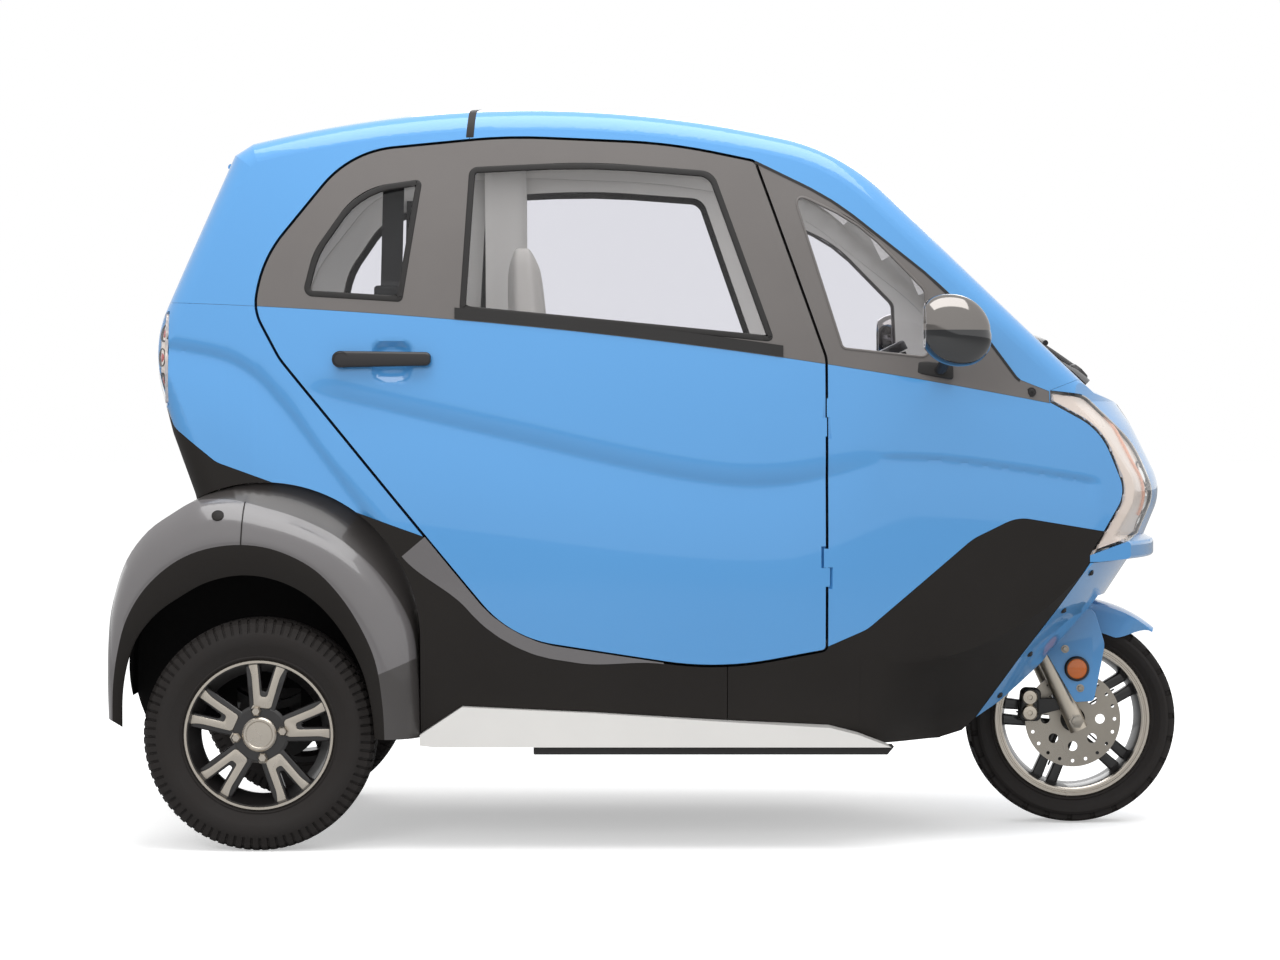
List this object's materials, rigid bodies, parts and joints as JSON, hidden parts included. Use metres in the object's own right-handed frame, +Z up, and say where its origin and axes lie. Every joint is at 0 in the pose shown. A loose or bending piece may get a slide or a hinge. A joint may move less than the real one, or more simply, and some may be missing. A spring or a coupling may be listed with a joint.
{
  "type": "three-wheeled electric cabin scooter",
  "caption": "Closed three-wheeled electric cabin scooter with a steered front fork, hinged side doors, a lifting rear hatch and glazed cabin for a driver and a passenger behind.",
  "frame": {"origin": "on the ground under the middle of the vehicle", "axes": "+X forward along the vehicle, +Y to its left, +Z up"},
  "size_m": [2.352, 1.3, 1.614],
  "materials": {
    "paint": "gloss",
    "frame_grey": "satin",
    "cladding": "matte",
    "fender": "gloss",
    "skirt": "satin",
    "glass": "polished",
    "lamp": "polished",
    "red_lamp": "polished",
    "dark_plastic": "gloss",
    "chassis_black": "satin",
    "battery": "matte",
    "spring": "brushed",
    "seat": "matte",
    "trim": "matte",
    "tyre": "matte",
    "rim": "machined",
    "black_rim": "gloss",
    "disc": "brushed",
    "fork": "satin",
    "liner": "matte",
    "steel": "brushed"
  },
  "bodies": {
    "chassis": {"front_wings": "paint", "rear_quarters": "paint", "front_roof": "paint", "rear_roof": "paint", "nose_panel": "paint", "front_shield": "paint", "quarter_frames": "frame_grey", "front_cladding": "cladding", "rear_cladding": "cladding", "rear_apron": "cladding", "rear_fenders": "fender", "side_sills": "skirt", "quarter_glass": "glass", "windscreen": "glass", "headlamps": "lamp", "tail_lamps": "red_lamp", "mirrors": "dark_plastic", "floor_pan": "chassis_black", "frame_rails": "chassis_black", "steering_head": "chassis_black", "rear_axle": "chassis_black", "battery_pack": "battery", "rear_springs": "spring", "seat_bases": "trim", "seat_cushions": "seat", "seat_backs": "seat", "dashboard": "trim", "front_wheel_well": "liner", "wheel_houses": "liner", "tow_eye": "steel"},
    "door_right": {"door_right_panel": "paint", "door_right_frame": "frame_grey", "door_right_glass": "glass", "door_right_handle": "dark_plastic"},
    "door_left": {"door_left_panel": "paint", "door_left_frame": "frame_grey", "door_left_glass": "glass", "door_left_handle": "dark_plastic"},
    "hatch": {"hatch_panel": "paint", "hatch_glass": "glass"},
    "steering": {"fork": "fork", "handlebar": "dark_plastic", "front_mudguard": "paint", "front_caliper": "dark_plastic"},
    "front_wheel": {"front_rim": "black_rim", "front_tyre": "tyre", "front_disc": "disc"},
    "rear_wheel_right": {"rear_right_rim": "rim", "rear_right_tyre": "tyre"},
    "rear_wheel_left": {"rear_left_rim": "rim", "rear_left_tyre": "tyre"}
  },
  "joints": [
    {"name": "door_right_hinge", "type": "hinge", "parent": "chassis", "child": "door_right", "pos_m": [0.353, -0.4954, 0.6], "axis": [0, 0, 1], "range_deg": [0, 65]},
    {"name": "door_left_hinge", "type": "hinge", "parent": "chassis", "child": "door_left", "pos_m": [0.353, 0.4954, 0.6], "axis": [0, 0, -1], "range_deg": [0, 65]},
    {"name": "hatch_hinge", "type": "hinge", "parent": "chassis", "child": "hatch", "pos_m": [-0.946, 0, 1.473], "axis": [0, 1, 0], "range_deg": [0, 75]},
    {"name": "steering_turn", "type": "hinge", "parent": "chassis", "child": "steering", "pos_m": [0.6998, 0, 0.67747], "axis": [-0.4147, 0, 0.91], "range_deg": [-35, 35]},
    {"name": "front_wheel_spin", "type": "hinge", "parent": "steering", "child": "front_wheel", "pos_m": [0.939, 0, 0.237], "axis": [0, 1, 0], "continuous": true},
    {"name": "rear_right_spin", "type": "hinge", "parent": "chassis", "child": "rear_wheel_right", "pos_m": [-0.854, -0.465, 0.247], "axis": [0, 1, 0], "continuous": true},
    {"name": "rear_left_spin", "type": "hinge", "parent": "chassis", "child": "rear_wheel_left", "pos_m": [-0.854, 0.465, 0.247], "axis": [0, 1, 0], "continuous": true}
  ]
}
